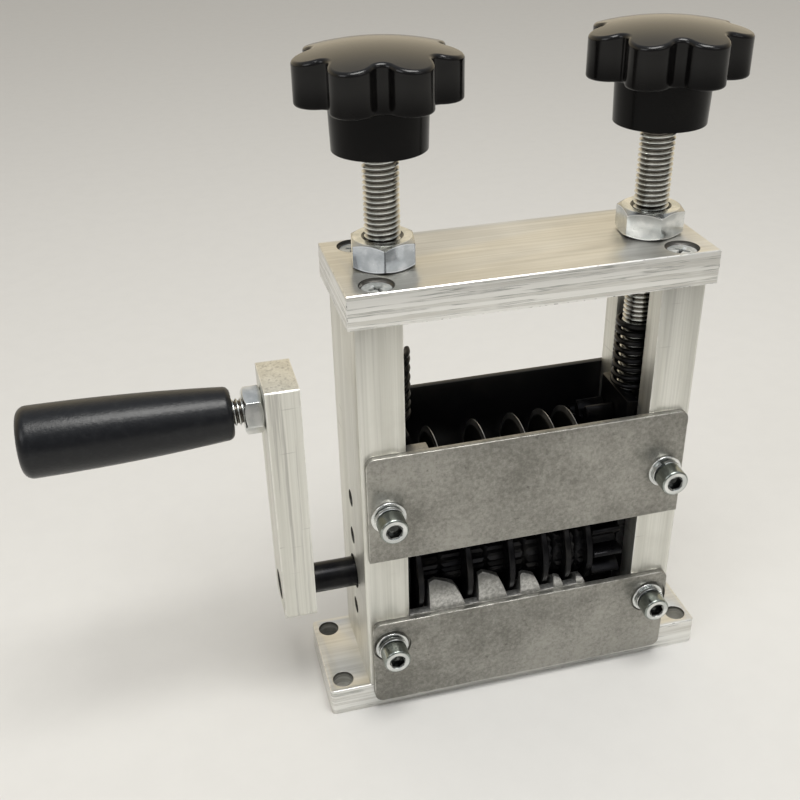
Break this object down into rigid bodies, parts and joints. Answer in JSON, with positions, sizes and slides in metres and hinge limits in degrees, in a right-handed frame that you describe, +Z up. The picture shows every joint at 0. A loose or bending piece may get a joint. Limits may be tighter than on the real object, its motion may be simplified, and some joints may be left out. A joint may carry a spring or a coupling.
{
  "type": "hand crank wire stripper",
  "caption": "Bench tool that slits cable sleeves: crank, geared feed rollers and round blades between two channel columns, star knobs press the blade shaft down.",
  "frame": {"origin": "centre of the base plate's underside, midway between the four bench holes", "axes": "+X along the shafts, away from the crank; +Y to the back, where the cable goes in; +Z up"},
  "size_m": [0.2076, 0.055, 0.2092],
  "materials": {
    "drawn_aluminium": "drawn extrusion with fine lines along its length, satin",
    "sawn_aluminium": "satin faces, sawn edges with fine level lines",
    "plate_steel": "mottled grey plate, matt, with a bright broken edge",
    "comb_steel": "milled grey steel, satin",
    "black_paint": "black paint, semi-gloss",
    "zinc": "bright zinc plating",
    "black_oxide": "black oxide on machined steel, oiled",
    "tool_steel": "ground tool steel",
    "bronze": "turned bronze",
    "knob_plastic": "black moulded plastic, glossy",
    "grip_plastic": "black moulded plastic, fine grain, semi-gloss"
  },
  "bodies": {
    "frame": {"base_plate": "sawn_aluminium", "left_column": "drawn_aluminium", "right_column": "drawn_aluminium", "top_plate": "sawn_aluminium", "upper_front_plate": "plate_steel", "lower_front_plate": "plate_steel", "rear_guide_plate": "black_paint", "lower_comb": "comb_steel", "upper_comb": "comb_steel", "top_plate_screws": "zinc", "base_screws": "zinc", "comb_screws": "zinc", "plate_cap_screws": "zinc", "flat_washers": "zinc", "spring_washers": "zinc", "lower_block_left": "black_oxide", "lower_block_right": "black_oxide", "lower_bushes": "bronze"},
    "crankshaft": {"lower_shaft": "black_oxide", "lower_key": "black_oxide", "rims": "black_oxide", "lower_gear": "black_oxide", "crank_arm": "drawn_aluminium", "crank_grub_screw": "black_oxide", "handle_spindle": "zinc", "handle_nut": "zinc", "feed_roller_1": "black_oxide", "feed_roller_2": "black_oxide", "feed_roller_3": "black_oxide", "feed_roller_4": "black_oxide", "feed_roller_5": "black_oxide"},
    "handle": {"grip": "grip_plastic", "grip_end_plug": "grip_plastic"},
    "carriage": {"upper_block_left": "black_oxide", "upper_block_right": "black_oxide", "upper_bushes": "bronze", "spring_left": "black_oxide", "spring_right": "black_oxide"},
    "blade_shaft": {"upper_shaft": "black_oxide", "upper_key": "black_oxide", "upper_gear": "black_oxide", "blade_1": "tool_steel", "blade_2": "tool_steel", "blade_3": "tool_steel", "blade_4": "tool_steel", "blade_5": "tool_steel", "blade_spacer_1": "black_oxide", "blade_spacer_2": "black_oxide", "blade_spacer_3": "black_oxide", "blade_spacer_4": "black_oxide", "blade_spacer_5": "black_oxide", "blade_spacer_6": "black_oxide"},
    "left_adjuster": {"left_screw": "zinc", "left_knob": "knob_plastic"},
    "right_adjuster": {"right_screw": "zinc", "right_knob": "knob_plastic"},
    "left_nut": {"left_lock_nut": "zinc"},
    "right_nut": {"right_lock_nut": "zinc"}
  },
  "joints": [
    {"name": "crank_turn", "type": "hinge", "parent": "frame", "child": "crankshaft", "pos_m": [0, 0, 0.044], "axis": [1, 0, 0], "continuous": true},
    {"name": "grip_spin", "type": "hinge", "parent": "crankshaft", "child": "handle", "pos_m": [-0.11, 0, 0.1093], "axis": [1, 0, 0], "continuous": true},
    {"name": "blade_lift", "type": "slide", "parent": "frame", "child": "carriage", "axis": [0, 0, 1], "range_m": [-0.0027, 0.0012]},
    {"name": "blade_shaft_turn", "type": "hinge", "parent": "carriage", "child": "blade_shaft", "pos_m": [0, 0, 0.076], "axis": [1, 0, 0], "continuous": true},
    {"name": "left_screw_turn", "type": "hinge", "parent": "carriage", "child": "left_adjuster", "pos_m": [-0.0388, 0, 0.17], "axis": [0, 0, 1], "range_deg": [-650, 290]},
    {"name": "right_screw_turn", "type": "hinge", "parent": "carriage", "child": "right_adjuster", "pos_m": [0.0406, 0, 0.17], "axis": [0, 0, 1], "range_deg": [-650, 290]},
    {"name": "left_nut_lift", "type": "slide", "parent": "frame", "child": "left_nut", "axis": [0, 0, 1], "range_m": [0, 0.004]},
    {"name": "right_nut_lift", "type": "slide", "parent": "frame", "child": "right_nut", "axis": [0, 0, 1], "range_m": [0, 0.004]}
  ],
  "couplings": [
    {"joint": "blade_shaft_turn", "follows": "crank_turn", "ratio": -1},
    {"joint": "left_screw_turn", "follows": "blade_lift", "rad_per_m": 4188.8},
    {"joint": "right_screw_turn", "follows": "blade_lift", "rad_per_m": 4188.8}
  ]
}
